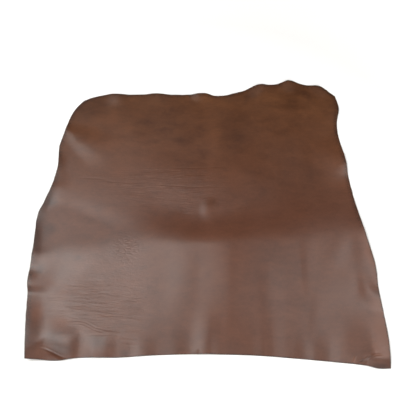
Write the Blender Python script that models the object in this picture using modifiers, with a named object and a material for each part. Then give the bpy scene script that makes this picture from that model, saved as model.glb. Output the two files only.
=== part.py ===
"""A trimmed leather hide, grain side up, lying on a level surface as it does after being folded.

One solid, in metres, +Z up. The cut edge runs along X at the front, the neck end is at +Y.
The origin is the middle of the footprint, at the height of the surface that the hide lies on.
The underside is modelled first: it is level where the hide lies flat, and it lifts over the old
fold, the ripples of the stretched edges and the two puckered corners.
"""

import math
from collections import namedtuple

import bpy

# Driving dimensions, in metres.
MM = 0.001
THICKNESS = 0.0022          # finished leather, an even gauge all over
SHEET_COLUMNS = 104         # columns of the sheet across the hide
SHEET_ROWS = 98             # rows of the sheet from the cut edge to the neck
KEPT_SHARE = 0.235          # share of the sheet's triangles that its folds need
SHARP_ANGLE = 40.0          # degrees between two faces, past which their edge is shaded sharp

# The outline, in millimetres, as four sides. A smooth curve runs through the rows of each.
Spot = namedtuple("Spot", "x y")
CUT_EDGE = [                # left to right
    Spot(-577, -580), Spot(-530, -580), Spot(-475, -582), Spot(-400, -571),
    Spot(-276, -567), Spot(-176, -558), Spot(-58, -551), Spot(70, -548), Spot(190, -549),
    Spot(310, -555), Spot(440, -561), Spot(530, -568), Spot(575, -577), Spot(619, -577),
]
NECK_EDGE = [               # left to right
    Spot(-520, 457), Spot(-484, 475), Spot(-417, 492), Spot(-290, 496), Spot(-227, 503),
    Spot(-150, 499), Spot(-67, 502), Spot(-17, 510), Spot(15, 499), Spot(70, 502),
    Spot(141, 527), Spot(206, 557), Spot(271, 563), Spot(333, 579), Spot(400, 562),
    Spot(460, 553), Spot(517, 508),
]
LEFT_SIDE = [               # cut edge to neck
    Spot(-577, -580), Spot(-586, -507), Spot(-598, -430), Spot(-613, -310),
    Spot(-617, -200), Spot(-626, -75), Spot(-608, -10), Spot(-590, 60), Spot(-581, 150),
    Spot(-589, 235), Spot(-577, 305), Spot(-564, 375), Spot(-545, 422), Spot(-520, 457),
]
RIGHT_SIDE = [              # cut edge to neck
    Spot(619, -577), Spot(622, -475), Spot(616, -395), Spot(607, -325), Spot(604, -220),
    Spot(585, -110), Spot(560, 5), Spot(541, 115), Spot(533, 205), Spot(517, 295),
    Spot(515, 375), Spot(527, 445), Spot(517, 508),
]

# The old fold, in millimetres: a ridge right across the hide. Its near side runs down to the
# floor as one slack plane, and its far side drops over a short way and flattens out. The rounding
# is how much of the two sides the round crest takes.
Ridge = namedtuple("Ridge", "x crest_y height near_run far_run rounding")
OLD_FOLD = [
    Ridge(-640, -200, 12, 330, 290, 3),
    Ridge(-500, -200, 12, 350, 280, 3),
    Ridge(-370, -190, 10, 370, 200, 3),
    Ridge(-270, -158, 11, 390, 200, 4),
    Ridge(-165, -139, 15, 400, 140, 6),
    Ridge(-57, -144, 21, 400, 120, 9),
    Ridge(53, -140, 24, 400, 118, 12),
    Ridge(164, -122, 23, 410, 145, 14),
    Ridge(274, -108, 20, 420, 200, 13),
    Ridge(400, -92, 17, 430, 250, 9),
    Ridge(620, -78, 13, 410, 280, 5),
]
FOOT_EASING = 0.12          # share of the near run over which it eases onto the floor
NARROWEST_FAN = 0.3         # least share of its width that a fanned ripple narrows to

# Ripples and swells, in millimetres and degrees: the middle of each crest, the heading of the
# crest from +X, the half length along it, the half width across it, the height, the share of
# the width that leans to the left of the heading (0 is even, 1 is all to the left), how sharp
# the crest is (0 is a round roll, 1 a pinched crease), and how much wider the ripple grows
# along its heading (0 is even).
Ripple = namedtuple("Ripple", "x y heading half_length half_width height lean sharp fan")
LEFT_RIPPLES = [
    Ripple(-492, 252, -35, 165, 72, 5.2, 0.0, 0.0, 0.6),
    Ripple(-570, 300, -44, 70, 26, 2.8, 0.0, 0.0, 0.5),
    Ripple(-600, 225, 92, 95, 44, 6.5, 0.0, 0.0, 0.0),
    Ripple(-596, 56, -16, 110, 44, 3.4, -0.3, 0.0, 0.9),
    Ripple(-624, -16, 75, 130, 46, 8.0, 0.0, 0.0, 0.0),
    Ripple(-636, -172, 94, 150, 42, 8.5, 0.0, 0.0, 0.0),
    Ripple(-606, -226, -6, 105, 44, 3.6, 0.25, 0.0, 0.5),
    Ripple(-606, -329, 4, 102, 54, 9.5, 0.34, 0.0, 0.4),
    Ripple(-622, -400, 91, 140, 44, 5.0, 0.0, 0.0, 0.0),
    Ripple(-612, -575, 92, 300, 106, 26.0, 0.0, 0.0, -0.35),
    Ripple(-480, -470, 88, 170, 84, 1.4, 0.0, 0.0, 0.0),
]
RIGHT_RIPPLES = [
    Ripple(538, 200, 31, 130, 105, 11.0, 0.35, 0.0, -0.3),
    Ripple(572, -180, 98, 120, 52, 3.4, 0.15, 0.0, 0.0),
    Ripple(475, -180, 72, 100, 50, 1.3, 0.1, 0.0, 0.0),
    Ripple(604, -344, -12, 90, 54, 4.6, 0.0, 0.0, 0.0),
    Ripple(560, -490, 86, 140, 150, 9.5, -0.3, 0.0, 0.0),
    Ripple(520, 440, 80, 90, 60, 4.0, 0.0, 0.0, 0.0),
]
CUT_EDGE_RIPPLES = [
    Ripple(-438, -556, 91, 100, 46, 4.0, 0.25, 0.0, 0.0),
    Ripple(-354, -562, 92, 95, 48, 3.8, -0.15, 0.0, 0.0),
    Ripple(-198, -560, 92, 90, 48, 2.4, -0.05, 0.0, 0.0),
    Ripple(-88, -560, 92, 120, 46, 1.2, 0.3, 0.0, 0.0),
    Ripple(16, -548, 91, 180, 56, 5.6, 0.15, 0.0, 0.0),
    Ripple(-14, -562, 92, 30, 16, -2.4, 0.0, 0.0, 0.0),
    Ripple(158, -556, 89, 130, 40, 1.6, -0.1, 0.0, 0.0),
    Ripple(230, -540, 90, 160, 42, 2.4, -0.25, 0.0, 0.0),
    Ripple(334, -558, 89, 95, 34, 2.2, 0.0, 0.0, 0.0),
    Ripple(418, -560, 88, 120, 46, 3.0, 0.15, 0.0, 0.0),
]
NECK_RIPPLES = [
    Ripple(-392, 502, 90, 80, 58, 6.0, 0.0, 0.0, 0.0),
    Ripple(-215, 508, 90, 70, 55, 1.5, 0.0, 0.0, 0.0),
    Ripple(-52, 512, 92, 54, 40, 7.0, 0.0, 0.1, 0.0),
    Ripple(98, 512, 84, 60, 38, 3.0, 0.0, 0.1, 0.0),
    Ripple(200, 560, 66, 90, 44, 9.5, 0.0, 0.1, 0.0),
    Ripple(326, 586, 90, 80, 48, 10.0, 0.0, 0.1, 0.0),
    Ripple(450, 560, 120, 80, 50, 6.0, 0.0, 0.0, 0.0),
]
CORNER_PUCKERS = [
    Ripple(-520, -525, 44, 115, 200, 12.0, 0.5, 0.0, 0.0),
    Ripple(-478, -561, -19, 60, 22, 2.8, 0.3, 0.0, 0.0),
    Ripple(598, -546, 6, 75, 57, 5.4, 0.33, 0.0, 0.0),
    Ripple(550, -546, 36, 40, 26, 4.5, -0.2, 0.2, 0.0),
]
SLACK_SWELLS = [
    Ripple(-420, 4, -22, 270, 128, 2.1, 0.4, 0.0, 0.0),
    Ripple(10, 95, 3, 360, 140, 3.9, -0.05, 0.0, 0.0),
    Ripple(88, -300, 90, 330, 230, 8.5, -0.3, 0.5, 0.0),
    Ripple(-62, -290, 90, 170, 66, 1.0, 0.2, 0.0, 0.0),
    Ripple(218, -360, 91, 160, 62, 1.4, -0.3, 0.2, 0.0),
    Ripple(360, -230, 93, 170, 42, 1.1, -0.4, 0.0, 0.0),
    Ripple(384, -400, 80, 120, 44, 0.6, -0.4, 0.0, 0.0),
    Ripple(4, -20, 80, 60, 36, 4.0, 0.0, 0.0, 0.0),
]
ALL_RIPPLES = (
    LEFT_RIPPLES + RIGHT_RIPPLES + CUT_EDGE_RIPPLES
    + NECK_RIPPLES + CORNER_PUCKERS + SLACK_SWELLS
)

LEATHER_COLOUR = (0.082, 0.029, 0.015, 1.0)     # dark brown, dyed through
LEATHER_ROUGHNESS = 0.4


def clear_scene():
    for old in list(bpy.data.objects):
        bpy.data.objects.remove(old, do_unlink=True)


def smooth_between(values, position):
    """A smooth curve through evenly numbered values, read at a position such as 3.25."""
    last = len(values) - 1
    left = min(int(position), last - 1)
    t = position - left
    before = values[max(left - 1, 0)]
    start, end = values[left], values[left + 1]
    after = values[min(left + 2, last)]
    pull_start = (end - before) / 2.0
    pull_end = (after - start) / 2.0
    return (
        start * (2 * t ** 3 - 3 * t ** 2 + 1) + pull_start * (t ** 3 - 2 * t ** 2 + t)
        + end * (3 * t ** 2 - 2 * t ** 3) + pull_end * (t ** 3 - t ** 2)
    )


def side_reader(side):
    """A function that gives the point at a share of a side's length, from 0 to 1."""
    reached = [0.0]
    for here, ahead in zip(side, side[1:]):
        reached.append(reached[-1] + math.dist(here, ahead))

    def point_at(share):
        wanted = share * reached[-1]
        row = 0
        while row < len(side) - 2 and reached[row + 1] < wanted:
            row += 1
        position = row + (wanted - reached[row]) / (reached[row + 1] - reached[row])
        return (
            smooth_between([spot.x for spot in side], position),
            smooth_between([spot.y for spot in side], position),
        )

    return point_at


def plan_point(sides, across, along):
    """The place in plan, in mm, of a point of the sheet: a patch stretched between four sides."""
    cut, neck = sides["cut"](across), sides["neck"](across)
    left, right = sides["left"](along), sides["right"](along)
    place = []
    for axis in (0, 1):
        between_ends = cut[axis] * (1 - along) + neck[axis] * along
        between_sides = left[axis] * (1 - across) + right[axis] * across
        near = CUT_EDGE[0][axis] * (1 - across) + CUT_EDGE[-1][axis] * across
        far = NECK_EDGE[0][axis] * (1 - across) + NECK_EDGE[-1][axis] * across
        place.append(between_ends + between_sides - near * (1 - along) - far * along)
    return place


def fold_row(x):
    """The old fold's sizes at a place across the hide, by an even curve through its rows."""
    row = 0
    while row < len(OLD_FOLD) - 2 and OLD_FOLD[row + 1].x < x:
        row += 1
    here, ahead = OLD_FOLD[row], OLD_FOLD[row + 1]
    t = min(max((x - here.x) / (ahead.x - here.x), 0.0), 1.0)
    columns = zip(*OLD_FOLD)
    return Ridge(*(smooth_between(column, row + t) for column in columns))


def fold_height(x, y):
    """Lift of the underside over the old fold: the lower of its two sides, with a round crest."""
    fold = fold_row(x)
    before = (y - fold.crest_y) / fold.near_run + 1.0
    if before > FOOT_EASING:
        near_side = before
    elif before > -FOOT_EASING:
        near_side = (before + FOOT_EASING) ** 2 / (4.0 * FOOT_EASING)
    else:
        near_side = 0.0
    left_to_run = max(1.0 - (y - fold.crest_y) / fold.far_run, 0.0)
    near_side *= fold.height
    far_side = fold.height * left_to_run ** 2
    overlap = max(fold.rounding - abs(near_side - far_side), 0.0)
    rounding = overlap ** 2 / (4.0 * fold.rounding)
    return max(min(near_side, far_side) - rounding, 0.0)


def ripple_height(ripple, x, y):
    """Lift of one ripple, which fades to nothing at its half length and half width."""
    heading = math.radians(ripple.heading)
    east, north = x - ripple.x, y - ripple.y
    along = (east * math.cos(heading) + north * math.sin(heading)) / ripple.half_length
    to_left = north * math.cos(heading) - east * math.sin(heading)
    lean = ripple.lean if to_left > 0.0 else -ripple.lean
    width_here = ripple.half_width * (1.0 + lean) * max(1.0 + ripple.fan * along, NARROWEST_FAN)
    across = abs(to_left) / width_here
    if abs(along) >= 1.0 or across >= 1.0:
        return 0.0
    fade = (1.0 + math.cos(math.pi * along)) / 2.0
    round_roll = (1.0 + math.cos(math.pi * across)) / 2.0
    pinched = (1.0 - across) ** 2
    return ripple.height * fade * (round_roll * (1.0 - ripple.sharp) + pinched * ripple.sharp)


def underside_height(x, y):
    """Lift of the underside, which is never below the surface that the hide lies on."""
    ripples = sum(ripple_height(ripple, x, y) for ripple in ALL_RIPPLES)
    return max(fold_height(x, y) + ripples, 0.0)


def leather():
    material = bpy.data.materials.new("brown_leather")
    material.use_nodes = True
    shader = material.node_tree.nodes["Principled BSDF"]
    shader.inputs["Base Color"].default_value = LEATHER_COLOUR
    shader.inputs["Roughness"].default_value = LEATHER_ROUGHNESS
    shader.inputs["Metallic"].default_value = 0.0
    return material


def lay_sheet():
    """The underside as an open sheet, cut to the outline and lifted over its folds."""
    bpy.ops.mesh.primitive_grid_add(
        x_subdivisions=SHEET_COLUMNS, y_subdivisions=SHEET_ROWS, size=1.0
    )
    hide = bpy.context.active_object
    hide.name = "hide"
    hide.data.name = "hide"
    sides = {
        "cut": side_reader(CUT_EDGE),
        "neck": side_reader(NECK_EDGE),
        "left": side_reader(LEFT_SIDE),
        "right": side_reader(RIGHT_SIDE),
    }
    for vertex in hide.data.vertices:
        x, y = plan_point(sides, vertex.co.x + 0.5, vertex.co.y + 0.5)
        vertex.co = (x * MM, y * MM, underside_height(x, y) * MM)
    return hide


def thin_out_flat_stretches(hide):
    """Fewer triangles where the hide lies flat, and none of them below the surface."""
    thinning = hide.modifiers.new("Thin out", "DECIMATE")
    thinning.ratio = KEPT_SHARE
    bpy.ops.object.modifier_apply(modifier=thinning.name)
    for vertex in hide.data.vertices:
        vertex.co.z = max(vertex.co.z, 0.0)


def give_thickness(hide):
    """The leather's gauge, laid on top of the underside."""
    gauge = hide.modifiers.new("Gauge", "SOLIDIFY")
    gauge.thickness = THICKNESS
    gauge.offset = 1.0
    gauge.use_even_offset = True
    bpy.ops.object.modifier_apply(modifier=gauge.name)


def centre_on_footprint(hide):
    """Moves the mesh so that the origin is the middle of the footprint."""
    for axis in (0, 1):
        places = [vertex.co[axis] for vertex in hide.data.vertices]
        middle = (min(places) + max(places)) / 2.0
        for vertex in hide.data.vertices:
            vertex.co[axis] -= middle


def main():
    clear_scene()
    collection = bpy.data.collections.new("leather_hide")
    bpy.context.scene.collection.children.link(collection)
    layer = bpy.context.view_layer.layer_collection.children[collection.name]
    bpy.context.view_layer.active_layer_collection = layer
    hide = lay_sheet()
    thin_out_flat_stretches(hide)
    give_thickness(hide)
    centre_on_footprint(hide)
    hide.data.materials.append(leather())
    hide.data.shade_smooth()
    hide.data.set_sharp_from_angle(angle=math.radians(SHARP_ANGLE))


main()
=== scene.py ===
import math
from collections import namedtuple

import bpy
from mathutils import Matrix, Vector, kdtree, noise


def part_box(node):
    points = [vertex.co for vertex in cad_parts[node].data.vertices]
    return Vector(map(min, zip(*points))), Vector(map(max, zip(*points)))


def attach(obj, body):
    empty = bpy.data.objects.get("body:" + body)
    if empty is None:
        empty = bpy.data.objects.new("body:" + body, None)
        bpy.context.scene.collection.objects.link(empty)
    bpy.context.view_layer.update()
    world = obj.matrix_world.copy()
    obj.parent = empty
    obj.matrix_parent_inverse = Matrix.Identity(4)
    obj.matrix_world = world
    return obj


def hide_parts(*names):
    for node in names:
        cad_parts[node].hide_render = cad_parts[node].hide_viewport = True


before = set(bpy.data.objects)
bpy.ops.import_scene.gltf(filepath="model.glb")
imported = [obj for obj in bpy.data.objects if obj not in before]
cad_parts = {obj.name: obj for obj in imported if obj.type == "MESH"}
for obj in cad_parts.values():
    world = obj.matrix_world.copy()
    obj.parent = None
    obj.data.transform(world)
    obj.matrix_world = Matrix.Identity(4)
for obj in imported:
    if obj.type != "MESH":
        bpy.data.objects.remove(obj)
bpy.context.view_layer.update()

print("frame loaded:", sorted(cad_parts))


# The plan of the hide, in mm from its middle: a smooth curve is drawn through the points of each side.

hidePlan = {
    "cutEdge": [            # left to right
        (-577, -581), (-530, -581), (-475, -582), (-400, -571), (-276, -567), (-176, -558), (-58, -551),
        (70, -548), (190, -549), (310, -555), (440, -563), (530, -570), (575, -579), (616, -578),
    ],
    "neckEdge": [           # left to right
        (-520, 457), (-484, 475), (-417, 492), (-290, 496), (-227, 503), (-150, 499), (-67, 502),
        (-17, 510), (15, 499), (70, 502), (141, 527), (206, 557), (271, 563), (333, 579),
        (400, 562), (460, 553), (517, 508),
    ],
    "leftSide": [           # cut edge to neck
        (-577, -581), (-586, -507), (-598, -430), (-613, -310), (-615, -200), (-624, -75), (-608, -10),
        (-590, 60), (-581, 150), (-589, 235), (-577, 305), (-564, 375), (-545, 422), (-520, 457),
    ],
    "rightSide": [          # cut edge to neck
        (616, -578), (618, -475), (613, -395), (605, -325), (602, -224), (579, -112), (556, 5),
        (541, 115), (533, 205), (517, 295), (515, 375), (527, 445), (517, 508),
    ],
    "raggedness": 1.1,      # how far the natural sides wander, mm
    "ragLength": 21.0,      # and over what length
    "ragApart": (7, 3, 5),  # keeps the wander in y from following the one in x
}


def smoothBetween(values, position):
    # a smooth curve through evenly numbered values, read at a position such as 3.25
    last = len(values) - 1
    left = min(int(position), last - 1)
    t = position - left
    start, end = values[left], values[left + 1]
    pullStart = (end - values[max(left - 1, 0)]) / 2
    pullEnd = (values[min(left + 2, last)] - start) / 2
    return (
        start * (2 * t ** 3 - 3 * t ** 2 + 1) + pullStart * (t ** 3 - 2 * t ** 2 + t)
        + end * (3 * t ** 2 - 2 * t ** 3) + pullEnd * (t ** 3 - t ** 2)
    )


def sidePoint(points, share):
    # the point at a share of a side's length, from 0 to 1
    reached = [0.0]
    for here, ahead in zip(points, points[1:]):
        reached.append(reached[-1] + math.dist(here, ahead))
    wanted = share * reached[-1]
    row = 0
    while row < len(points) - 2 and reached[row + 1] < wanted:
        row += 1
    position = row + (wanted - reached[row]) / (reached[row + 1] - reached[row])
    x = smoothBetween([point[0] for point in points], position)
    y = smoothBetween([point[1] for point in points], position)
    return x, y


def raggedPoint(points, share):
    # the same on a natural side, which wanders a little but for its two ends
    x, y = sidePoint(points, share)
    wander = hidePlan["raggedness"] * math.sin(math.pi * share) ** 0.5
    place = Vector((x, y, 0)) / hidePlan["ragLength"]
    return x + wander * noise.noise(place), y + wander * noise.noise(place + Vector(hidePlan["ragApart"]))


# The folds and ripples that the hide lies in, in mm and degrees.

ridge = namedtuple("ridge", "x crestY height nearRun farRun rounding")
oldFold = {
    "rows": [               # across the hide: near side one slack plane, far side a short drop
        ridge(-640, -200, 12, 330, 290, 3),
        ridge(-500, -200, 12, 350, 280, 3),
        ridge(-370, -190, 10, 370, 230, 4),
        ridge(-270, -158, 11, 390, 235, 5),
        ridge(-165, -139, 15, 400, 152, 9),
        ridge(-57, -144, 21, 400, 122, 13),
        ridge(53, -140, 24, 400, 120, 15),
        ridge(164, -122, 23, 410, 145, 14),
        ridge(274, -108, 20, 420, 200, 13),
        ridge(400, -89, 17, 430, 250, 9),
        ridge(620, -62, 13, 410, 280, 5),
    ],
    "footEasing": 0.12,     # share of the near run over which it eases onto the floor
}

# x, y is the middle of a crest, and heading its direction from +X. With lean above 0 the side to
# the left of the heading is the wider one. Pinch 0 is a round roll and 1 a crease, and fan is how
# much wider the ripple grows along its heading.
ripple = namedtuple("ripple", "x y heading halfLength halfWidth height lean pinch fan")
ripples = {
    "left side": [
        ripple(-492, 254, -35, 165, 76, 4.9, 0.2, 0.0, 0.6),
        ripple(-568, 314, -44, 70, 28, 3.2, 0.0, 0.0, 0.5),
        ripple(-588, 140, 91, 80, 50, 5.4, 0.0, 0.0, 0.0),
        ripple(-590, 58, -10, 80, 90, 4.4, -0.1, 0.0, 0.0),
        ripple(-596, 56, -16, 110, 44, 1.2, -0.3, 0.0, 0.9),
        ripple(-624, -10, 75, 130, 46, 8.0, 0.0, 0.0, 0.0),
        ripple(-632, -180, 94, 128, 54, 8.5, 0.0, 0.0, 0.0),
        ripple(-606, -233, -6, 105, 50, 5.0, 0.0, 0.0, 0.5),
        ripple(-606, -329, 4, 102, 54, 11.0, 0.34, 0.0, 0.4),
        ripple(-622, -300, 91, 70, 44, 4.0, 0.0, 0.0, 0.0),
        ripple(-615, -575, 92, 285, 113, 27.5, 0.0, 0.0, -0.44),
        ripple(-480, -470, 88, 170, 84, 1.4, 0.0, 0.0, 0.0),
    ],
    "right side": [
        ripple(538, 200, 31, 130, 105, 11.0, 0.35, 0.0, -0.3),
        ripple(572, -180, 98, 120, 52, 3.4, 0.15, 0.0, 0.0),
        ripple(475, -180, 72, 100, 50, 1.3, 0.1, 0.0, 0.0),
        ripple(562, -300, 95, 60, 36, 2.6, 0.0, 0.0, 0.0),
        ripple(650, -96, -8, 165, 88, 6.2, 0.0, 0.0, 0.0),
        ripple(604, -344, -12, 90, 54, 4.6, 0.0, 0.0, 0.0),
        ripple(562, -490, 86, 140, 174, 8.6, -0.4, 0.2, 0.0),
        ripple(520, 440, 80, 90, 60, 4.0, 0.0, 0.0, 0.0),
    ],
    "cut edge": [
        ripple(-438, -556, 91, 100, 46, 4.0, 0.25, 0.0, 0.0),
        ripple(-354, -562, 92, 95, 48, 3.8, -0.15, 0.0, 0.0),
        ripple(-390, -512, 2, 330, 90, 5.0, 0.0, 0.0, 0.0),
        ripple(-316, -545, 92, 90, 36, 1.8, 0.0, 0.0, 0.0),
        ripple(-198, -560, 92, 90, 48, 2.4, -0.05, 0.0, 0.0),
        ripple(-88, -560, 92, 120, 46, 1.2, 0.3, 0.0, 0.0),
        ripple(16, -548, 91, 180, 56, 5.6, 0.15, 0.0, 0.0),
        ripple(-14, -562, 92, 30, 16, -2.4, 0.0, 0.0, 0.0),
        ripple(158, -556, 89, 130, 40, 1.6, -0.1, 0.0, 0.0),
        ripple(230, -540, 90, 160, 42, 2.4, -0.25, 0.0, 0.0),
        ripple(334, -558, 89, 95, 34, 2.2, 0.0, 0.0, 0.0),
        ripple(418, -560, 88, 120, 46, 3.0, 0.15, 0.0, 0.0),
    ],
    "neck": [
        ripple(-392, 502, 90, 80, 58, 6.0, 0.0, 0.0, 0.0),
        ripple(-215, 508, 90, 70, 55, 1.5, 0.0, 0.0, 0.0),
        ripple(-52, 512, 92, 54, 40, 7.0, 0.0, 0.1, 0.0),
        ripple(98, 512, 84, 60, 38, 3.0, 0.0, 0.1, 0.0),
        ripple(200, 560, 66, 90, 44, 9.5, 0.0, 0.1, 0.0),
        ripple(326, 586, 90, 80, 48, 10.0, 0.0, 0.1, 0.0),
        ripple(450, 560, 120, 80, 50, 6.0, 0.0, 0.0, 0.0),
    ],
    "corners": [
        ripple(-530, -515, 42, 110, 200, 12.0, 0.5, 0.5, 0.0),
        ripple(-466, -522, 6, 80, 50, 2.6, 0.0, 0.0, 0.0),
        ripple(-478, -561, -19, 60, 22, 2.8, 0.3, 0.0, 0.0),
        ripple(598, -543, 6, 75, 76, 5.4, 0.5, 0.0, 0.0),
        ripple(550, -546, 36, 40, 26, 4.5, -0.2, 0.2, 0.0),
    ],
    "slack": [
        ripple(-420, 4, -22, 270, 128, 2.1, 0.4, 0.0, 0.0),
        ripple(10, 95, 3, 360, 140, 3.9, -0.05, 0.0, 0.0),
        ripple(88, -300, 90, 330, 230, 8.5, -0.3, 0.5, 0.0),
        ripple(-62, -290, 90, 170, 66, 1.0, 0.2, 0.0, 0.0),
        ripple(218, -360, 91, 160, 62, 1.4, -0.3, 0.2, 0.0),
        ripple(360, -230, 93, 170, 42, 1.1, -0.4, 0.0, 0.0),
        ripple(384, -400, 80, 120, 44, 0.6, -0.4, 0.0, 0.0),
        ripple(4, -20, 80, 60, 36, 4.0, 0.0, 0.0, 0.0),
    ],
}
allRipples = [row for rows in ripples.values() for row in rows]
narrowestFan = 0.3          # share of its width that a ripple keeps at its narrow end

unevenness = {              # soft swells all over: length in mm, height in mm
    "broad": (150.0, 0.5),
    "small": (52.0, 0.16),
}
unevennessApart = 3.7       # keeps the two from rising and falling together


def foldHeight(x, y):
    rows = oldFold["rows"]
    row = 0
    while row < len(rows) - 2 and rows[row + 1].x < x:
        row += 1
    t = min(max((x - rows[row].x) / (rows[row + 1].x - rows[row].x), 0.0), 1.0)
    here = ridge(*(smoothBetween(column, row + t) for column in zip(*rows)))
    easing = oldFold["footEasing"]
    nearSide = (y - here.crestY) / here.nearRun + 1
    if nearSide < easing:
        nearSide = max(nearSide + easing, 0.0) ** 2 / (4 * easing)
    nearSide *= here.height
    farSide = here.height * max(1 - (y - here.crestY) / here.farRun, 0.0) ** 2
    overlap = max(here.rounding - abs(nearSide - farSide), 0.0)
    return max(min(nearSide, farSide) - overlap ** 2 / (4 * here.rounding), 0.0)


def rippleHeight(row, x, y):
    heading = math.radians(row.heading)
    east, north = x - row.x, y - row.y
    along = (east * math.cos(heading) + north * math.sin(heading)) / row.halfLength
    if abs(along) >= 1:
        return 0.0
    toLeft = north * math.cos(heading) - east * math.sin(heading)
    side = 1 + row.lean if toLeft > 0 else 1 - row.lean
    across = abs(toLeft) / (row.halfWidth * side * max(1 + row.fan * along, narrowestFan))
    if across >= 1:
        return 0.0
    fade = (1 + math.cos(math.pi * along)) / 2
    roll = (1 + math.cos(math.pi * across)) / 2
    return row.height * fade * (roll * (1 - row.pinch) + (1 - across) ** 2 * row.pinch)


def fleshHeight(x, y):
    # how high the underside lies at a place, mm
    height = foldHeight(x, y) + sum(rippleHeight(row, x, y) for row in allRipples)
    for number, (length, swell) in enumerate(unevenness.values()):
        place = Vector((x / length, y / length, unevennessApart * number))
        height += swell * (1 + noise.noise(place)) / 2
    return max(height, 0.0)


# Growth wrinkles and creases in the grain side, each drawn through a few listed points. A depth
# below 0 is a raised line.

stroke = namedtuple("stroke", "depth points")
growthWrinkles = {
    "halfWidth": 2.9,       # mm
    "lip": 0.35,            # how high the grain swells beside a crease, as a share of its depth
    "lipPlace": 2,          # where it does, in half widths from the crease
    "reach": 9.0,           # mm to each side that gets small faces
    "step": 4.0,            # mm between the places measured from
    "strokes": [
        stroke(0.60, [(-478, -400), (-430, -408), (-380, -411), (-330, -418), (-282, -423), (-203, -432)]),
        stroke(0.42, [(-389, -416), (-339, -429), (-274, -430), (-202, -440)]),
        stroke(0.34, [(-480, -327), (-413, -329), (-358, -326)]),
        stroke(0.38, [(-467, -344), (-416, -341), (-367, -338)]),
        stroke(0.34, [(-437, -361), (-393, -354), (-344, -353), (-295, -362), (-208, -367)]),
        stroke(0.34, [(-274, -377), (-238, -376), (-204, -374)]),
        stroke(0.36, [(-539, -374), (-485, -369)]),
        stroke(0.30, [(-535, -383), (-487, -379)]),
        stroke(0.56, [(-462, -453), (-415, -451), (-380, -463), (-355, -474), (-307, -480), (-260, -475)]),
        stroke(0.42, [(-441, -460), (-407, -460), (-364, -478), (-330, -487)]),
        stroke(0.46, [(-384, -497), (-329, -496), (-275, -489)]),
        stroke(0.38, [(-262, -481), (-195, -479)]),
        stroke(0.32, [(-276, -508), (-215, -510)]),
        stroke(0.30, [(-268, -524), (-210, -527)]),
        stroke(0.25, [(-236, 78), (-147, 74), (-63, 70), (51, 73)]),
        stroke(0.20, [(-390, 87), (-312, 82), (-236, 84)]),
        stroke(0.20, [(-144, 150), (-28, 153), (80, 163)]),
        stroke(0.18, [(-506, 99), (-390, 95)]),
        stroke(1.3, [(509, -559), (521, -557), (533, -551), (549, -540)]),
        stroke(-1.0, [(536, -566), (547, -551), (562, -539), (594, -534)]),
        stroke(-0.5, [(494, -563), (499, -553), (506, -543)]),
        stroke(0.8, [(-13, -531), (-11, -541), (-8, -550)]),
        stroke(-0.6, [(-537, -544), (-515, -549), (-494, -557), (-473, -566), (-453, -573)]),
    ],
}


def strokePath(row):
    # places along a stroke, close enough together to measure from, each with its share of the length
    path = []
    step = growthWrinkles["step"]
    parts = len(row.points) - 1
    for part in range(parts):
        count = max(int(math.dist(row.points[part], row.points[part + 1]) / step), 2)
        for number in range(count):
            position = part + number / count
            x = smoothBetween([point[0] for point in row.points], position)
            y = smoothBetween([point[1] for point in row.points], position)
            path.append((x, y, position / parts))
    path.append((*row.points[-1], 1.0))
    return path


def strokeBox(path, reach):
    xs, ys = [place[0] for place in path], [place[1] for place in path]
    return min(xs) - reach, max(xs) + reach, min(ys) - reach, max(ys) + reach


def distanceTo(path, x, y):
    # distance to the path, and how far along it the nearest place is
    best, share = math.inf, 0.0
    for (ax, ay, shareA), (bx, by, shareB) in zip(path, path[1:]):
        dx, dy = bx - ax, by - ay
        t = min(max(((x - ax) * dx + (y - ay) * dy) / (dx * dx + dy * dy), 0.0), 1.0)
        away = math.hypot(x - ax - t * dx, y - ay - t * dy)
        if away < best:
            best, share = away, shareA + t * (shareB - shareA)
    return best, share


def wrinkleProfile(away):
    # a crease with a slight swelling on both sides of it
    across = away / growthWrinkles["halfWidth"]
    lip = growthWrinkles["lip"] * math.exp(-(across - growthWrinkles["lipPlace"]) ** 2)
    return math.exp(-across ** 2) - lip


# The sheet itself.

hideSheet = {
    "name": "hide_leather",
    "columns": 174,
    "rows": 166,
    "gatherSides": 0.05,    # share by which the columns crowd towards the two sides
    "gatherEnds": 0.05,     # and the rows towards the two ends
    "cuts": 3,              # extra cuts of the faces along each growth wrinkle
    "gauge": 2.2,           # mm of leather
    "edgeRounding": 0.5,    # mm
    "edgeAngle": 60,        # degrees from which an edge is rounded
    "smoothAngle": 35,      # degrees up to which faces are shaded as one surface
    "grainUp": 0.3,         # faces that look up more than this are on the grain side
}
grainSlot, fleshSlot, edgeSlot = 0, 1, 2
mm = 0.001


def crowdToEnds(share, gather):
    # columns or rows crowd towards the two ends, where the ripples are
    return share - gather * math.sin(2 * math.pi * share)


def planPoint(across, along):
    # a patch stretched between the four sides
    cut, neck = sidePoint(hidePlan["cutEdge"], across), raggedPoint(hidePlan["neckEdge"], across)
    left, right = raggedPoint(hidePlan["leftSide"], along), raggedPoint(hidePlan["rightSide"], along)
    cutEdge, neckEdge = hidePlan["cutEdge"], hidePlan["neckEdge"]
    place = []
    for axis in (0, 1):
        ends = cut[axis] * (1 - along) + neck[axis] * along
        sides = left[axis] * (1 - across) + right[axis] * across
        near = cutEdge[0][axis] * (1 - across) + cutEdge[-1][axis] * across
        far = neckEdge[0][axis] * (1 - across) + neckEdge[-1][axis] * across
        place.append(ends + sides - near * (1 - along) - far * along)
    return place


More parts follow.
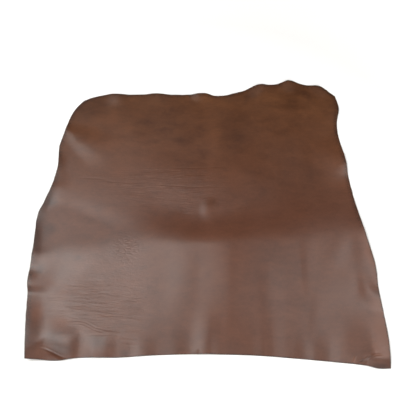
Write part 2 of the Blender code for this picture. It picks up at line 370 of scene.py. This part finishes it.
def openSheet():
    bpy.ops.object.select_all(action="DESELECT")
    bpy.ops.mesh.primitive_grid_add(
        x_subdivisions=hideSheet["columns"], y_subdivisions=hideSheet["rows"], size=1.0
    )
    sheet = bpy.context.active_object
    sheet.name = hideSheet["name"]
    sheet.data.name = hideSheet["name"]
    for vertex in sheet.data.vertices:
        across = crowdToEnds(vertex.co.x + 0.5, hideSheet["gatherSides"])
        along = crowdToEnds(vertex.co.y + 0.5, hideSheet["gatherEnds"])
        x, y = planPoint(across, along)
        vertex.co = (x * mm, y * mm, 0.0)
    print("sheet cut to its outline:", len(sheet.data.polygons), "faces")
    return sheet


def refineAlong(sheet, paths):
    # small faces along the growth wrinkles
    reach = growthWrinkles["reach"]
    boxes = [strokeBox(path, reach) for path in paths]
    bpy.ops.object.mode_set(mode="EDIT")
    bpy.ops.mesh.select_mode(type="FACE")
    bpy.ops.mesh.select_all(action="DESELECT")
    bpy.ops.object.mode_set(mode="OBJECT")
    for polygon in sheet.data.polygons:
        x, y = polygon.center.x / mm, polygon.center.y / mm
        for path, (lowX, highX, lowY, highY) in zip(paths, boxes):
            if lowX < x < highX and lowY < y < highY and distanceTo(path, x, y)[0] < reach:
                polygon.select = True
                break
    bpy.ops.object.mode_set(mode="EDIT")
    bpy.ops.mesh.subdivide(number_cuts=hideSheet["cuts"])
    bpy.ops.mesh.select_all(action="DESELECT")
    bpy.ops.object.mode_set(mode="OBJECT")
    print("wrinkles refined:", len(sheet.data.polygons), "faces")


def liftOverFolds(sheet):
    for vertex in sheet.data.vertices:
        vertex.co.z = fleshHeight(vertex.co.x / mm, vertex.co.y / mm) * mm


def giveGauge(sheet):
    # the leather's thickness, on top of the flesh side
    gauge = sheet.modifiers.new("gauge", "SOLIDIFY")
    gauge.thickness = hideSheet["gauge"] * mm
    gauge.offset = 1.0
    gauge.use_even_offset = True
    gauge.material_offset = fleshSlot - grainSlot
    gauge.material_offset_rim = edgeSlot - grainSlot
    bpy.ops.object.modifier_apply(modifier=gauge.name)


def pressWrinkles(sheet, paths):
    reach = growthWrinkles["reach"]
    boxes = [strokeBox(path, reach) for path in paths]
    depths = [row.depth for row in growthWrinkles["strokes"]]
    normals = [vertex.normal.z for vertex in sheet.data.vertices]
    for vertex, up in zip(sheet.data.vertices, normals):
        if up < hideSheet["grainUp"]:
            continue
        x, y = vertex.co.x / mm, vertex.co.y / mm
        for path, (lowX, highX, lowY, highY), depth in zip(paths, boxes, depths):
            if lowX < x < highX and lowY < y < highY:
                away, share = distanceTo(path, x, y)
                fade = math.sin(math.pi * min(max(share, 0.0), 1.0)) ** 0.5
                vertex.co.z -= depth * fade * wrinkleProfile(away) * mm


def roundEdges(sheet):
    rounding = sheet.modifiers.new("rounding", "BEVEL")
    rounding.width = hideSheet["edgeRounding"] * mm
    rounding.segments = 1
    rounding.limit_method = "ANGLE"
    rounding.angle_limit = math.radians(hideSheet["edgeAngle"])
    bpy.ops.object.modifier_apply(modifier=rounding.name)


def centreOnFrame(sheet):
    # the middle of the sheet goes to the middle of the solid that it stands for
    low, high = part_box("hide")
    for axis in (0, 1):
        places = [vertex.co[axis] for vertex in sheet.data.vertices]
        shift = (low[axis] + high[axis]) / 2 - (min(places) + max(places)) / 2
        for vertex in sheet.data.vertices:
            vertex.co[axis] += shift


# Colour patches: soft darker (-) and lighter (+) patches, and where the fine wrinkles lie.

patch = namedtuple("patch", "x y halfWidth halfHeight turn strength")
colourLightAndMaskPatches = {
    # tone: lighter and darker patches of colour, partly the hide's own uneven tone and partly painted
    # shade and painted highlight where the surface turns towards or away from the lights
    "tone_and_painted_light": [
        patch(107, 324, 115, 145, 0, -0.22),
        patch(-177, 374, 170, 140, 0, -0.12),
        patch(20, 238, 45, 250, -4, 0.16),
        patch(80, 100, 150, 130, 0, 0.14),
        patch(-10, 470, 120, 60, 0, 0.22),
        patch(434, 439, 95, 70, 0, 0.22),
        patch(-100, 276, 90, 28, 0, -0.12),
        patch(385, 529, 80, 45, 0, -0.14),
        patch(333, 472, 45, 50, 0, -0.14),
        patch(156, 492, 55, 45, 0, -0.18),
        patch(263, 485, 50, 50, 0, 0.12),
        patch(-381, 379, 45, 45, 0, 0.18),
        patch(484, 296, 55, 55, 0, -0.14),
        patch(-500, 425, 130, 90, 0, -0.30),
        # from here on mostly painted shade (below 0) and painted highlight (above 0) on the slopes of the
        # ripples along the sides, the cut edge, the corners and the old fold
        patch(-609, -115, 42, 190, 4, -0.42),
        patch(-462, -545, 60, 34, 0, -0.35),
        patch(524, -555, 18, 10, -10, -0.2),
        patch(543, -549, 14, 9, 25, -0.1),
        patch(498, -554, 9, 13, 0, 0.6),
        patch(590, -532, 42, 20, 0, 0.9),
        patch(585, -573, 50, 14, 0, -0.5),
        patch(525, 180, 130, 280, 8, 0.30),
        patch(612, -330, 50, 260, 0, 0.35),
        patch(590, -150, 45, 100, 0, 0.30),
        patch(600, -465, 60, 90, 0, 0.45),
        patch(-585, 0, 35, 50, 0, -0.50),
        patch(-346, -517, 42, 32, 0, -0.45),
        patch(-252, -555, 30, 22, 0, -0.40),
        patch(-54, -550, 30, 18, 0, 0.35),
        patch(-500, -510, 52, 36, 0, -0.35),
        patch(-480, -455, 42, 36, 0, 0.35),
        patch(-572, -125, 30, 50, 0, -0.35),
        patch(598, -330, 24, 30, 0, -0.40),
        patch(-562, -425, 28, 60, 0, 0.40),
        patch(-580, -272, 26, 28, 0, -0.45),
        patch(-550, -500, 28, 30, 0, -0.15),
        patch(572, -512, 26, 22, 0, 0.40),
        patch(588, -190, 30, 46, 8, 0.35),
        patch(60, -470, 260, 110, 0, 0.08),
        patch(240, -230, 150, 110, 0, -0.20),
        patch(-588, -515, 60, 110, 0, -0.40),
        patch(-449, -226, 20, 12, 0, -0.35),
        patch(-366, -161, 60, 20, 0, -0.12),
        patch(-315, -124, 40, 15, 0, -0.12),
    ],
    "growth": [
        patch(-158, 70, 380, 150, 0, 1.0),
        patch(-370, -390, 270, 180, -6, 1.15),
        patch(108, -20, 90, 60, 0, 0.6),
        patch(-67, -33, 50, 80, 0, 0.8),
        patch(60, 480, 500, 60, 0, 0.5),
    ],
    "crinkle": [
        patch(-280, -181, 75, 90, 30, 1.0),
        patch(-330, -330, 330, 240, -10, 0.45),
    ],
    "blotched": [
        patch(-200, 300, 420, 300, 0, 0.6),
        patch(330, 430, 260, 190, 0, 0.75),
        patch(-420, -80, 180, 140, 0, 0.6),
    ],
}


def patchValue(row, x, y):
    turn = math.radians(row.turn)
    east, north = x - row.x, y - row.y
    u = (east * math.cos(turn) + north * math.sin(turn)) / row.halfWidth
    v = (north * math.cos(turn) - east * math.sin(turn)) / row.halfHeight
    away = u * u + v * v
    return row.strength * (1 - away) ** 2 if away < 1 else 0.0


def paintByHand(sheet):
    for name, rows in colourLightAndMaskPatches.items():
        attribute = sheet.data.attributes.new(name, "FLOAT", "POINT")
        for vertex, item in zip(sheet.data.vertices, attribute.data):
            x, y = vertex.co.x / mm, vertex.co.y / mm
            item.value = sum(patchValue(row, x, y) for row in rows)


rimReach = {                 # how far the darkened rim reaches in, mm
    "natural sides": 19.0,
    "near right side": 7.0,     # the right side up to the old fold
    "cut edge": 5.0,
    "cutEdgeUpTo": -535,    # where the sheet ends nearer than this, it ends in the cut edge
    "nearRightUpTo": -80,
}


def paintRim(sheet):
    # 1 on the outline, falling to 0 further in; the grain colour is darker where it is high
    onRim = set()
    for polygon in sheet.data.polygons:
        if polygon.material_index == edgeSlot:
            onRim.update(polygon.vertices)
    outline = kdtree.KDTree(len(onRim))
    for number in onRim:
        outline.insert(sheet.data.vertices[number].co, number)
    outline.balance()
    rim = sheet.data.attributes.new("rim", "FLOAT", "POINT")
    for vertex in sheet.data.vertices:
        place, number, away = outline.find(vertex.co)
        kind = "natural sides"
        if place.y < rimReach["cutEdgeUpTo"] * mm:
            kind = "cut edge"
        elif place.x > 0 and place.y < rimReach["nearRightUpTo"] * mm:
            kind = "near right side"
        rim.data[vertex.index].value = max(1 - away / (rimReach[kind] * mm), 0.0)


# Materials.

def newMaterial(name):
    material = bpy.data.materials.new(name)
    material.use_nodes = True
    tree = material.node_tree
    shader = tree.nodes["Principled BSDF"]
    return material, tree, shader


def addNode(tree, kind, **settings):
    node = tree.nodes.new(kind)
    for name, value in settings.items():
        setattr(node, name, value)
    return node


def addNoise(tree, vector, scale, detail=3.0, roughness=0.5, distortion=0.0):
    node = addNode(tree, "ShaderNodeTexNoise")
    node.inputs["Scale"].default_value = scale
    node.inputs["Detail"].default_value = detail
    node.inputs["Roughness"].default_value = roughness
    node.inputs["Distortion"].default_value = distortion
    tree.links.new(vector, node.inputs["Vector"])
    return node.outputs["Fac"]


def addMath(tree, operation, first, second=None, third=None):
    node = addNode(tree, "ShaderNodeMath", operation=operation)
    for socket, value in zip(node.inputs, (first, second, third)):
        if value is None:
            continue
        if isinstance(value, (int, float)):
            socket.default_value = value
        else:
            tree.links.new(value, socket)
    return node.outputs[0]


def addStretch(tree, vector, scale, turn=0.0):
    node = addNode(tree, "ShaderNodeMapping")
    node.inputs["Scale"].default_value = scale
    node.inputs["Rotation"].default_value = (0, 0, math.radians(turn))
    tree.links.new(vector, node.inputs["Vector"])
    return node.outputs["Vector"]


def addRange(tree, value, low, high, toLow, toHigh):
    node = addNode(tree, "ShaderNodeMapRange")
    for name, number in (("From Min", low), ("From Max", high), ("To Min", toLow), ("To Max", toHigh)):
        node.inputs[name].default_value = number
    tree.links.new(value, node.inputs["Value"])
    return node.outputs["Result"]


def addMix(tree, factor, first, second):
    node = addNode(tree, "ShaderNodeMix", data_type="RGBA")
    tree.links.new(factor, node.inputs["Factor"])
    sockets = [socket for socket in node.inputs if socket.type == "RGBA"]
    for socket, value in zip(sockets, (first, second)):
        if isinstance(value, tuple):
            socket.default_value = (*value, 1.0)
        else:
            tree.links.new(value, socket)
    return [socket for socket in node.outputs if socket.type == "RGBA"][0]


grainFinish = {
    "deepBrown": (0.027, 0.0081, 0.0037),
    "lightBrown": (0.118, 0.0430, 0.0225),
    "warmDeep": (0.0265, 0.0075, 0.0028),
    "warmLight": (0.119, 0.0450, 0.0170),
    "edgeBrown": (0.022, 0.0085, 0.0050),
    "warmFromTo": (-0.05, 0.5),     # metres towards the neck over which the warm pair takes over
    "shadeRange": (-0.25, 1.0),     # the shades that get the deep and the light brown
    "cloudScale": 2.4,      # soft clouds of colour, per metre
    "cloudDepth": 0.7,
    "mottleScale": 17.0,
    "mottleStretch": (0.8, 1.5, 1.0),
    "mottleDepth": (0.7, 0.7),      # all over, and more where it was painted in
    "fleckScale": 62.0,
    "fleckStretch": (0.8, 1.6, 1.0),
    "fleckDepth": 0.45,
    "speckScale": 160.0,
    "speckDepth": 0.4,
    "rimScale": 210.0,      # specks in the darkened rim, per metre
    "rimSpecks": (0.42, 0.60),      # the noise values at which they start and are full
    "rimDarkening": 0.95,
    "rimLine": (0.8, 0.8),  # rim value at which the solid dark line starts, and its strength
    "glossScale": 7.0,
    "roughness": (0.36, 0.43),
    "pebbleScale": 430.0,   # pebbles of the grain, per metre
    "pebbleHeight": 0.05,   # mm, as all heights here
    "wrinkleStretch": (14.0, 115.0, 1.0),   # fine wrinkles, per metre along and across the hide
    "wrinkleTurn": 1.5,     # degrees
    "wrinkleWidth": 0.09,
    "wrinkleHeight": 0.22,
    "furrowStretch": (4.0, 33.0, 1.0),
    "furrowTurn": -1.0,
    "furrowHeight": 1.3,
    "crinkleStretch": (48.0, 90.0, 1.0),
    "crinkleTurn": 35,
    "crinkleWidth": 0.22,
    "crinkleHeight": 0.30,
}


def paintedValue(tree, name):
    return addNode(tree, "ShaderNodeAttribute", attribute_name=name).outputs["Fac"]


def addAround(tree, value, middle, depth, base):
    # base, raised or lowered by how far the value is from its middle
    return addMath(tree, "MULTIPLY_ADD", addMath(tree, "SUBTRACT", value, middle), depth, base)


def grainColour(tree, places):
    # clouds, mottling and specks round the listed tone patches, which carry painted shade and painted
    # highlight as well
    look = grainFinish
    clouds = addNoise(tree, places, look["cloudScale"], 4.0, 0.55)
    mottlePlaces = addStretch(tree, places, look["mottleStretch"])
    mottle = addNoise(tree, mottlePlaces, look["mottleScale"], 4.0, 0.55, 0.4)
    flecks = addNoise(tree, addStretch(tree, places, look["fleckStretch"]), look["fleckScale"], 3.0, 0.6)
    specks = addNoise(tree, places, look["speckScale"], 3.0, 0.6)
    allOver, blotches = look["mottleDepth"]
    mottleDepth = addRange(tree, paintedValue(tree, "blotched"), 0.0, 1.0, allOver, allOver + blotches)
    shade = addMath(tree, "MULTIPLY_ADD", clouds, look["cloudDepth"], 0.5 - look["cloudDepth"] / 2)
    shade = addAround(tree, mottle, 0.5, mottleDepth, shade)
    shade = addAround(tree, flecks, 0.5, look["fleckDepth"], shade)
    shade = addAround(tree, specks, 0.5, look["speckDepth"], shade)
    # the tone patches add painted shade and painted highlight as well as the hide's own tone
    shade = addMath(tree, "ADD", shade, paintedValue(tree, "tone_and_painted_light"))
    shade = addRange(tree, shade, *look["shadeRange"], 0.0, 1.0)
    cool = addMix(tree, shade, look["deepBrown"], look["lightBrown"])
    warm = addMix(tree, shade, look["warmDeep"], look["warmLight"])
    split = addNode(tree, "ShaderNodeSeparateXYZ")
    tree.links.new(places, split.inputs[0])
    towardsNeck = addRange(tree, split.outputs["Y"], *look["warmFromTo"], 0.0, 1.0)
    return addMix(tree, towardsNeck, cool, warm)


def darkenedRim(tree, places, colour):
    # specks that thicken towards the outline, and a solid dark line on it
    look = grainFinish
    rim = paintedValue(tree, "rim")
    specks = addNoise(tree, places, look["rimScale"], 3.0, 0.6)
    specks = addRange(tree, specks, *look["rimSpecks"], 0.0, look["rimDarkening"])
    specks = addMath(tree, "MULTIPLY", specks, addRange(tree, rim, 0.0, 0.6, 0.0, 1.0))
    lineFrom, lineStrength = look["rimLine"]
    line = addRange(tree, rim, lineFrom, 1.0, 0.0, lineStrength)
    return addMix(tree, addMath(tree, "MAXIMUM", specks, line), colour, look["edgeBrown"])


def grainRelief(tree, places):
    # in mm: pebbled grain, fine growth wrinkles in strokes across the hide, and broken grain
    look = grainFinish
    growth = paintedValue(tree, "growth")
    pebbles = addNode(tree, "ShaderNodeTexVoronoi", feature="SMOOTH_F1")
    pebbles.inputs["Scale"].default_value = look["pebbleScale"]
    pebbles.inputs["Smoothness"].default_value = 0.4
    tree.links.new(places, pebbles.inputs["Vector"])
    relief = addMath(tree, "MULTIPLY", pebbles.outputs["Distance"], -look["pebbleHeight"] * 2)

    wrinklePlaces = addStretch(tree, places, look["wrinkleStretch"], look["wrinkleTurn"])
    wrinkles = addNoise(tree, wrinklePlaces, 1.0, 3.0, 0.55, 0.6)
    wrinkles = addMath(tree, "ABSOLUTE", addMath(tree, "SUBTRACT", wrinkles, 0.5))
    wrinkles = addRange(tree, wrinkles, 0.0, look["wrinkleWidth"], 0.0, 1.0)
    wrinkles = addMath(tree, "MULTIPLY", addMath(tree, "SUBTRACT", wrinkles, 1.0), growth)
    relief = addMath(tree, "MULTIPLY_ADD", wrinkles, look["wrinkleHeight"], relief)

    furrowPlaces = addStretch(tree, places, look["furrowStretch"], look["furrowTurn"])
    furrows = addNoise(tree, furrowPlaces, 1.0, 3.0, 0.6, 0.4)
    furrows = addMath(tree, "MULTIPLY", addMath(tree, "SUBTRACT", furrows, 0.5), growth)
    relief = addMath(tree, "MULTIPLY_ADD", furrows, look["furrowHeight"], relief)

    cells = addNode(tree, "ShaderNodeTexVoronoi", feature="DISTANCE_TO_EDGE")
    cells.inputs["Scale"].default_value = 1.0
    cellPlaces = addStretch(tree, places, look["crinkleStretch"], look["crinkleTurn"])
    tree.links.new(cellPlaces, cells.inputs["Vector"])
    cracks = addRange(tree, cells.outputs["Distance"], 0.0, look["crinkleWidth"], -1.0, 0.0)
    cracks = addMath(tree, "MULTIPLY", cracks, paintedValue(tree, "crinkle"))
    return addMath(tree, "MULTIPLY_ADD", cracks, look["crinkleHeight"], relief)


def bumpFrom(tree, shader, height, distance):
    bump = addNode(tree, "ShaderNodeBump")
    bump.inputs["Strength"].default_value = 1.0
    bump.inputs["Distance"].default_value = distance
    tree.links.new(height, bump.inputs["Height"])
    tree.links.new(bump.outputs["Normal"], shader.inputs["Normal"])


def grainMaterial():
    material, tree, shader = newMaterial("grain_leather")
    places = addNode(tree, "ShaderNodeTexCoord").outputs["Object"]
    colour = darkenedRim(tree, places, grainColour(tree, places))
    tree.links.new(colour, shader.inputs["Base Color"])
    # sheen: a little uneven, as hand-finished leather is
    gloss = addNoise(tree, places, grainFinish["glossScale"], 4.0, 0.6)
    roughness = addRange(tree, gloss, 0.3, 0.7, *grainFinish["roughness"])
    tree.links.new(roughness, shader.inputs["Roughness"])
    bumpFrom(tree, shader, grainRelief(tree, places), mm)
    return material


fleshFinish = {
    "deep": (0.105, 0.052, 0.030),
    "pale": (0.215, 0.125, 0.078),
    "roughness": 0.95,
    "sheen": 0.25,
    "sheenRoughness": 0.6,
    "napStretch": (1.0, 2.2, 1.0),
    "napTurn": 25,          # degrees
    "napScale": 210.0,
    "napHeight": 0.25,      # mm
    "cloudScale": 9.0,
}


def fleshMaterial():
    look = fleshFinish
    material, tree, shader = newMaterial("flesh_side")
    places = addNode(tree, "ShaderNodeTexCoord").outputs["Object"]
    napPlaces = addStretch(tree, places, look["napStretch"], look["napTurn"])
    nap = addNoise(tree, napPlaces, look["napScale"], 5.0, 0.65, 0.8)
    clouds = addNoise(tree, places, look["cloudScale"], 4.0, 0.6)
    shade = addMath(tree, "MULTIPLY_ADD", nap, 0.6, addMath(tree, "MULTIPLY", clouds, 0.4))
    shade = addRange(tree, shade, 0.3, 0.7, 0.0, 1.0)
    tree.links.new(addMix(tree, shade, look["deep"], look["pale"]), shader.inputs["Base Color"])
    shader.inputs["Roughness"].default_value = look["roughness"]
    shader.inputs["Sheen Weight"].default_value = look["sheen"]
    shader.inputs["Sheen Roughness"].default_value = look["sheenRoughness"]
    bumpFrom(tree, shader, nap, look["napHeight"] * mm)
    return material


edgeFinish = {
    "deep": (0.020, 0.0080, 0.0048),
    "pale": (0.060, 0.026, 0.015),
    "roughness": 0.62,
    "fibreStretch": (1.0, 1.0, 6.0),
    "fibreScale": 320.0,
    "fibreHeight": 0.12,    # mm
}


def edgeMaterial():
    look = edgeFinish
    material, tree, shader = newMaterial("cut_edge")
    places = addNode(tree, "ShaderNodeTexCoord").outputs["Object"]
    fibres = addNoise(tree, addStretch(tree, places, look["fibreStretch"]), look["fibreScale"], 4.0, 0.6)
    shade = addRange(tree, fibres, 0.35, 0.7, 0.0, 1.0)
    tree.links.new(addMix(tree, shade, look["deep"], look["pale"]), shader.inputs["Base Color"])
    shader.inputs["Roughness"].default_value = look["roughness"]
    bumpFrom(tree, shader, fibres, look["fibreHeight"] * mm)
    return material


# The hide is made.

wrinklePaths = [strokePath(row) for row in growthWrinkles["strokes"]]
hide = openSheet()
refineAlong(hide, wrinklePaths)
liftOverFolds(hide)
for makeMaterial in (grainMaterial, fleshMaterial, edgeMaterial):
    hide.data.materials.append(makeMaterial())
giveGauge(hide)
pressWrinkles(hide, wrinklePaths)
paintByHand(hide)
roundEdges(hide)
paintRim(hide)
centreOnFrame(hide)
bpy.ops.object.shade_smooth_by_angle(angle=math.radians(hideSheet["smoothAngle"]))
print("hide finished:", len(hide.data.polygons), "faces")

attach(hide, "root")
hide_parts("hide")


# The studio: pale floor, three soft lights, pale surroundings.

studio = {
    "floorSize": 24.0,
    "floorDrop": 0.0002,    # metres below the hide, so that the two faces don't meet
    "floorColour": (0.88, 0.88, 0.88, 1),
    "floorRoughness": 0.9,
    "floorGlow": (0.9, 2.8),        # metres from the middle between which the floor turns white by itself
    "lightColour": (1.0, 0.99, 0.965),
    "skyLow": 0.9,          # brightness of the surroundings at the horizon
    "skyHigh": 0.006,       # and overhead
    "skyBand": (0.10, 0.26),        # where it falls from one to the other, as sines of the height
    "skySeen": 0.9,         # how bright it looks where it is in view itself
}


def makeFloor():
    bpy.ops.object.select_all(action="DESELECT")
    bpy.ops.mesh.primitive_plane_add(size=studio["floorSize"], location=(0, 0, -studio["floorDrop"]))
    floor = bpy.context.active_object
    floor.name = "studio_floor"
    bpy.ops.object.transform_apply(location=True, rotation=True, scale=True)
    material, tree, shader = newMaterial("floor_paper")
    shader.inputs["Base Color"].default_value = studio["floorColour"]
    shader.inputs["Roughness"].default_value = studio["floorRoughness"]
    shader.inputs["Emission Color"].default_value = (1, 1, 1, 1)
    places = addNode(tree, "ShaderNodeTexCoord").outputs["Object"]
    length = addNode(tree, "ShaderNodeVectorMath", operation="LENGTH")
    tree.links.new(places, length.inputs[0])
    glow = addRange(tree, length.outputs["Value"], *studio["floorGlow"], 0.0, 1.0)
    tree.links.new(glow, shader.inputs["Emission Strength"])
    floor.data.materials.append(material)


def makeSurroundings():
    world = bpy.data.worlds.new("surroundings")
    bpy.context.scene.world = world
    world.use_nodes = True
    tree = world.node_tree
    places = addNode(tree, "ShaderNodeTexCoord").outputs["Generated"]
    split = addNode(tree, "ShaderNodeSeparateXYZ")
    tree.links.new(places, split.inputs[0])
    glow = addRange(tree, split.outputs["Z"], *studio["skyBand"], studio["skyLow"], studio["skyHigh"])
    inView = addNode(tree, "ShaderNodeLightPath").outputs["Is Camera Ray"]
    glow = addMath(tree, "MAXIMUM", glow, addMath(tree, "MULTIPLY", inView, studio["skySeen"]))
    tree.nodes["Background"].inputs["Color"].default_value = (1, 1, 1, 1)
    tree.links.new(glow, tree.nodes["Background"].inputs["Strength"])


lightRow = namedtuple("lightRow", "name place aim width depth power")
softLights = [
    lightRow("left_softbox", (-1.28, 0.12, 2.5), (-0.2, -0.1, 0), 1.9, 1.4, 71),
    lightRow("right_softbox", (1.52, -0.08, 2.5), (0.3, -0.2, 0), 1.6, 1.0, 33),
    lightRow("front_softbox", (0.5, -3.2, 2.6), (0, 0, 0), 2.6, 1.6, 110),
]


def makeLights():
    for row in softLights:
        lamp = bpy.data.lights.new(row.name, "AREA")
        lamp.shape = "RECTANGLE"
        lamp.size, lamp.size_y = row.width, row.depth
        lamp.energy = row.power
        lamp.color = studio["lightColour"]
        light = bpy.data.objects.new(row.name, lamp)
        light.location = row.place
        light.rotation_euler = (Vector(row.aim) - Vector(row.place)).to_track_quat("-Z", "Y").to_euler()
        bpy.context.scene.collection.objects.link(light)


cameraSetup = {
    "place": (0.0296, -0.8340, 1.76),
    "tilt": 25.0,           # degrees from straight down
    "turn": 1.5155,
    "lens": 45.0,
}


def makeCamera():
    lens = bpy.data.cameras.new("main_camera")
    lens.lens = cameraSetup["lens"]
    camera = bpy.data.objects.new("main_camera", lens)
    camera.location = cameraSetup["place"]
    camera.rotation_euler = (math.radians(cameraSetup["tilt"]), 0, math.radians(cameraSetup["turn"]))
    bpy.context.scene.collection.objects.link(camera)
    bpy.context.scene.camera = camera


makeFloor()
makeSurroundings()
makeLights()
makeCamera()
bpy.context.scene.view_settings.view_transform = "Standard"
print("studio ready")
